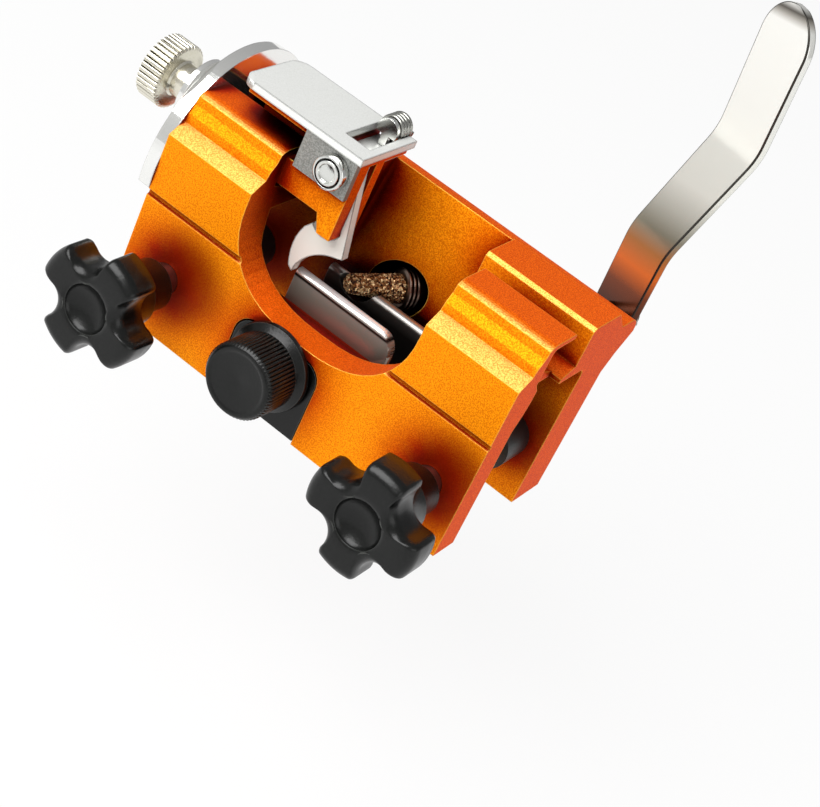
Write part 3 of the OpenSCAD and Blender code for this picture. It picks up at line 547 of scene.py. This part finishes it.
def star_rings(turn):
    """The rings of a star knob from its hub to the bottom of its dish; height 0 is the lobes' back."""
    rim = star(turn)

    def inset(by):
        return lambda a: rim(a) - by

    def shrink(share, to):
        return lambda a: min(rim(a) - 2.5, (1 - share) * (rim(a) - ROUND_R) + share * to)

    hub = [(-11.6, 0.4), (-11.6, 4.7), (-11.3, 5.0), (-5.7, 5.0), (-5.4, 5.2), (-5.3, 5.9), (-5.0, 6.2),
           (-0.3, 6.2), (0.0, 6.45)]
    lobes = [(0.0, inset(0.9)), (0.25, inset(0.3)), (0.8, inset(0.0)), (3.0, inset(0.0)), (5.1, inset(0.0))]
    turns = [math.radians(9 * k) for k in range(1, 11)]
    shoulder = [(5.2 + ROUND_R * math.sin(t), inset(ROUND_R * (1 - math.cos(t)))) for t in turns]
    face = [(LOBE_T, shrink(0.4, 5.5)), (LOBE_T, shrink(0.8, 5.5)), (7.57, shrink(1.0, 5.45)), (7.47, 5.1),
            (7.3, 4.8)]
    # The dish is part of a sphere
    centre = 7.2 + math.sqrt(DISH_R ** 2 - 26.0)
    dish = [(centre - math.sqrt(DISH_R ** 2 - r * r), r) for r in (4.6, 4.1, 3.5, 2.9, 2.3, 1.7, 1.0, 0.4)]
    return hub + lobes + shoulder + face + dish


for side, turned_by in (("left", 65.0), ("right", 86.0)):
    x = CLAMP_X[side]
    knob = revolve(side + "_star_knob", star_rings(turned_by),
                   lambda u, v, h, x=x: mm(x + u, KNOB_BACK_Y - h, CLAMP_Z + v), 288)
    finish_piece(knob, nylon, side + "_clamp", "black_plastic", side + "_clamp_knob")

# A grey shine, softer than that of the polished plate
plain_steel, tree, where = start("bright screw steel")
bump = grain(tree, where, 0.0004, 0.15)[0]
end(tree, Base_Color="#9A9A94", Metallic=1.0, Roughness=0.3, Normal=bump)
dress(["left_clamp_screw", "right_clamp_screw"], plain_steel)

# A warm yellow metal with a soft shine
brass, tree, where = start("turned brass")
bump = grain(tree, where, 0.0005, 0.12)[0]
end(tree, Base_Color="#C39A52", Metallic=1.0, Roughness=0.3, Normal=bump)
dress(["left_clamp_pad", "right_clamp_pad"], brass)

# The jaws and the rests
# Two ground steel blades with a polished top edge, the front one on the slider and the rear
# one screwed to the body. The rests are blackened steel and stand opposite the clamps.

JAW_FOOT, JAW_TOP = 0.004, 0.024


def up_the_blade(tree, where, stops):
    """The stops' colours from the foot of a jaw to its top edge."""
    height = add(tree, "ShaderNodeSeparateXYZ", {"Vector": where}).outputs["Z"]
    span = {"Value": height, "From Min": JAW_FOOT, "From Max": JAW_TOP}
    return ramp(tree, add(tree, "ShaderNodeMapRange", span).outputs["Result"], stops)


# A soft mirror with grinding lines along the blade
jaw_steel, tree, where = start("ground tool steel, oiled")
softened = add(tree, "ShaderNodeBevel", {"Radius": 0.0003}, samples=4).outputs[0]
streak = add(tree, "ShaderNodeMapping", {"Vector": where, "Scale": (90.0, 1200.0, 1200.0)}).outputs[0]
lines = add(tree, "ShaderNodeTexNoise", {"Vector": streak, "Scale": 1.0, "Detail": 3.0}).outputs[0]
grinding = {"Height": lines, "Strength": 0.12, "Distance": 0.0001, "Normal": softened}
bump = add(tree, "ShaderNodeBump", grinding).outputs[0]
# A painted highlight at the blade's rounded top edge, a painted dark line below it, and painted shade that
# darkens it towards the slot's floor
tone = up_the_blade(tree, where, [
    (0.0, "#080403"), (0.45, "#1E120C"), (0.65, "#75655A"), (0.8, "#A0968A"), (0.885, "#B4ACA2"),
    (0.9, "#14100E"), (0.915, "#2A2420"), (0.93, "#B4AEA6"), (0.955, "#FFFFFF")])
end(tree, Base_Color=tone, Metallic=0.6, Roughness=0.2, Normal=bump)
smooth_copy("front_jaw", jaw_steel, "slider", "jaw_steel")

# Nearly black, with a painted highlight along the top edge
blued, tree, where = start("blued tool steel")
softened = add(tree, "ShaderNodeBevel", {"Radius": 0.0003}, samples=4).outputs[0]
tone = up_the_blade(tree, where, [(0.0, "#060404"), (0.8, "#2A2523"), (0.9, "#5C5855"), (0.96, "#A8A5A0")])
end(tree, Base_Color=tone, Metallic=0.9, Roughness=0.3, Normal=softened)
smooth_copy("rear_jaw", blued, "saddle", "jaw_steel")

# Dark grey and too rough to mirror anything
rests, tree, where = start("blackened steel rests")
bump = grain(tree, where, 0.0004, 0.2)[0]
end(tree, Base_Color="#4A4C4B", Metallic=0.9, Roughness=0.4, Normal=bump)
dress(["bar_rests"], rests)

# The grinding rod and its burr
# An oiled rod turns in its sleeve. The tapered burr in front of its ringed collar is crushed
# diamond, held in a skin of nickel.

# A brown sheen, with painted shade that goes black close to other pieces
oiled, tree, where = start("oiled dark steel")
softened = add(tree, "ShaderNodeBevel", {"Radius": 0.0002}, samples=4).outputs[0]
tone = ramp(tree, cavity(tree, 0.004), [(0.1, "#080302"), (0.5, "#4A2E22"), (0.8, "#8A7A6E")])
end(tree, Base_Color=tone, Metallic=1.0, Roughness=0.28, Normal=softened)
dress(["rod_sleeve", "grinding_rod"], oiled)

# Glinting cells of about 0.4 mm in brown, bronze and cream
grit, tree, where = start("diamond grit in nickel")
cells = add(tree, "ShaderNodeTexVoronoi", {"Vector": where, "Scale": 2600.0})
tone = ramp(tree, cells.outputs["Color"], [(0.25, "#3B1E0E"), (0.55, "#9C6838"), (0.85, "#FFDFA8")])
# Painted shade in the hollows between the grains
tone = in_corners(tree, tone, 0.0012, [(0.3, "#3A1A0A"), (0.8, "#FFFFFF")])
end(tree, Base_Color=tone, Metallic=0.7, Roughness=0.28)

YAW = math.radians(33.0)
ROD = Vector((math.sin(YAW), math.cos(YAW), 0.0))
ACROSS = Vector((math.cos(YAW), -math.sin(YAW), 0.0))
MOUTH = mm(41.3, 29.1, 23.1)
CORE_STEP, CORE_R, TAPER = 0.45, 1.75, 0.0965
GRAIN_R, GRAINS_A_SQUARE_METRE = 0.00022, 1.1e7


def on_rod(u, v, s):
    """A point beside the rod's axis, s mm behind the mouth of its bore."""
    return MOUTH + (ROD * s + ACROSS * u + Vector((0, 0, v))) / 1000.0


core = [(-10.6, 0.2), (-10.6, 1.0), (-10.4, 1.4), (-10.0, 1.65), (-9.8, 1.72)]
core += [(-9.6 + i * CORE_STEP, CORE_R + TAPER * i * CORE_STEP) for i in range(24)]
core += [(0.8, 2.75), (0.8, 0.3)]
burr = revolve("burr_core", core, on_rod)
burr.data.materials.append(grit)

# Crushed grains are strewn over the core: few sided, half sunk, each with its own size and turn
tree = bpy.data.node_groups.new("grit", "GeometryNodeTree")
tree.interface.new_socket("Geometry", in_out="INPUT", socket_type="NodeSocketGeometry")
sized = tree.interface.new_socket("Grain", in_out="INPUT", socket_type="NodeSocketFloat")
dense = tree.interface.new_socket("Grains per square metre", in_out="INPUT", socket_type="NodeSocketFloat")
tree.interface.new_socket("Geometry", in_out="OUTPUT", socket_type="NodeSocketGeometry")
given = add(tree, "NodeGroupInput")
strewn = add(tree, "GeometryNodeDistributePointsOnFaces",
             {"Mesh": given.outputs[0], "Density": given.outputs[2], "Seed": 7})
grain_shape = add(tree, "GeometryNodeMeshIcoSphere", {"Radius": given.outputs[1], "Subdivisions": 1})
twist = add(tree, "FunctionNodeRandomValue", {0: (0, 0, 0), 1: (6.28, 6.28, 6.28), "Seed": 3},
            data_type="FLOAT_VECTOR")
scale = add(tree, "FunctionNodeRandomValue", {2: 0.55, 3: 1.25, "Seed": 5}, data_type="FLOAT")
grains = add(tree, "GeometryNodeInstanceOnPoints",
             {"Points": strewn.outputs["Points"], "Instance": grain_shape.outputs["Mesh"],
              "Rotation": twist.outputs[0], "Scale": scale.outputs[1]})
real = add(tree, "GeometryNodeRealizeInstances", {0: grains.outputs[0]})
joined = add(tree, "GeometryNodeJoinGeometry")
tree.links.new(real.outputs[0], joined.inputs[0])
tree.links.new(given.outputs[0], joined.inputs[0])
painted = add(tree, "GeometryNodeSetMaterial", {"Geometry": joined.outputs[0], "Material": grit})
add(tree, "NodeGroupOutput", {0: painted.outputs[0]})
strew = burr.modifiers.new("grit", "NODES")
strew.node_group = tree
strew[sized.identifier] = GRAIN_R
strew[dense.identifier] = GRAINS_A_SQUARE_METRE
made = bpy.data.meshes.new_from_object(burr.evaluated_get(bpy.context.evaluated_depsgraph_get()))
bpy.data.objects.remove(burr)
burr = bpy.data.objects.new("burr_grit", made)
bpy.context.scene.collection.objects.link(burr)
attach(burr, "crank")
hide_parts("burr")

# The crank
# A strip of 1.8 mm steel, pressed to shape, bent twice and polished. It sits on the rod's
# end under a nut.

# How far the painted reflection on the strip rises for each mm to its right; a fold rises by a third of that
SKEW = 0.24
FOLD_SKEW = SKEW / 3

# It is polished, with a painted reflection: the jig shows in its foot and the pale room in its upper half
mirror, tree, where = start("polished steel strip")
upright = tuple(Vector((0, 0, 1)) - ACROSS * SKEW)
height = add(tree, "ShaderNodeVectorMath", {0: where, 1: upright}, operation="DOT_PRODUCT").outputs["Value"]
off = SKEW * MOUTH.dot(ACROSS)
span = {"Value": height, "From Min": 0.016 - off, "From Max": 0.098 - off}
tone = ramp(tree, add(tree, "ShaderNodeMapRange", span).outputs["Result"], [
    (0.1, "#3A1806"), (0.17, "#6E300C"), (0.23, "#D0600E"), (0.29, "#A0622C"), (0.34, "#86806F"),
    (0.4, "#BFBDB2"), (0.47, "#EAE9E0"), (0.6, "#F0F0E8"), (0.7, "#ECECE6"), (0.93, "#EEEEE9"),
    (0.948, "#A8A49C"), (0.962, "#4A453E"), (0.978, "#E0DFDA")])
end(tree, Base_Color=tone, Metallic=0.65, Roughness=0.2)

# Its rounded edges carry painted shade, darker than the polished faces
edge_painted_shade, tree, where = start("steel strip edge, painted shade")
end(tree, Base_Color="#3C3A36", Metallic=0.9, Roughness=0.35)

HUB_S, STRIP_T, EDGE_R, BEND_R = 52.0, 1.8, 0.45, 14.0
FOOT_R, TIP_R, TIP_H, TILT = 6.75, 7.95, 64.6, math.radians(-2.0)
EDGE_STEPS, BEND_STEPS = (0.0, 0.03, 0.1, 0.22, 0.4, EDGE_R), 20
# The middle line of the strip, as (out along the rod, height), with a round arc at each bend
corners = [Vector((0, -FOOT_R)), Vector((0, 18)), Vector((9.1, 42.3)), Vector((7.0, 72.5))]
middle = [corners[0]]
for before, at, after in zip(corners, corners[1:], corners[2:]):
    u, v = (before - at).normalized(), (after - at).normalized()
    half = u.angle(v) / 2
    centre = at + (u + v).normalized() * BEND_R / math.sin(half)
    first, last = (at + way * BEND_R / math.tan(half) - centre for way in (u, v))
    ways = [first.normalized().slerp(last.normalized(), i / BEND_STEPS) for i in range(BEND_STEPS + 1)]
    middle += [centre + way * BEND_R for way in ways]
middle.append(corners[-1])


def middle_at(h):
    """How far out the middle of the strip lies at a height, and its slope there."""
    for p, q in zip(middle, middle[1:]):
        if h <= q.y or q is middle[-1]:
            return p.x + (q.x - p.x) * (h - p.y) / (q.y - p.y), (q - p).normalized()


def half_thickness(inwards):
    """Half the strip's thickness at a distance inwards from its outline, where its edge is rounded."""
    short = EDGE_R - min(inwards, EDGE_R)
    return STRIP_T / 2 - EDGE_R + math.sqrt(EDGE_R ** 2 - short ** 2)


# The outline from foot to tip, as (height, half the width): a round foot, a taper, a round tip
stations = [(-FOOT_R * math.cos(t), FOOT_R * math.sin(t)) for t in [math.radians(6 * k) for k in range(16)]]
stations += [(TIP_H * k / 90, FOOT_R + (TIP_R - FOOT_R) * k / 90) for k in range(1, 90)]
turns = [math.radians(4.5 * k) for k in range(21)]
stations += [(TIP_H + TIP_R * math.sin(t), TIP_R * math.cos(t)) for t in turns]
shape = bmesh.new()
loops = []
for h, half_width in stations:
    half_width = max(half_width, 0.05)
    to_end = min(h + FOOT_R, TIP_H + TIP_R - h)
    side = [(max(half_width - d, 0.0), min(half_thickness(d), half_thickness(to_end)))
            for d in (*EDGE_STEPS, half_width * 0.9)]
    upper = side + [(-e, t) for e, t in side[::-1]]
    ring = upper + [(-e, -t) for e, t in upper]
    loop = []
    for e, t in ring:
        out, along = middle_at(h - FOLD_SKEW * e)
        a, z = out - t * along.y, h + t * along.x
        loop.append(shape.verts.new(on_rod(e * math.cos(TILT) + z * math.sin(TILT),
                                           z * math.cos(TILT) - e * math.sin(TILT), HUB_S + a)))
    loops.append(loop)
# On both sides of the strip, the faces near its edges are the rounded ones
half_ring = 2 * (len(EDGE_STEPS) + 1)
rounded = [q * half_ring + i for q in (0, 1) for i in (1, 2, 3, 4, 8, 9, 10, 11)]
for low, high in zip(loops, loops[1:]):
    for i in range(len(low)):
        j = (i + 1) % len(low)
        shape.faces.new((low[i], low[j], high[j], high[i])).material_index = 1 if i in rounded else 0
shape.faces.new(loops[0][::-1])
shape.faces.new(loops[-1])
bmesh.ops.remove_doubles(shape, verts=shape.verts, dist=1e-7)
bmesh.ops.recalc_face_normals(shape, faces=shape.faces)
made = bpy.data.meshes.new("crank_strip")
shape.to_mesh(made)
shape.free()
strip = whole("crank_strip", made, 35.0)
finish_piece(strip, mirror, "crank", "polished_plate", "crank_handle")
strip.data.materials.append(edge_painted_shade)
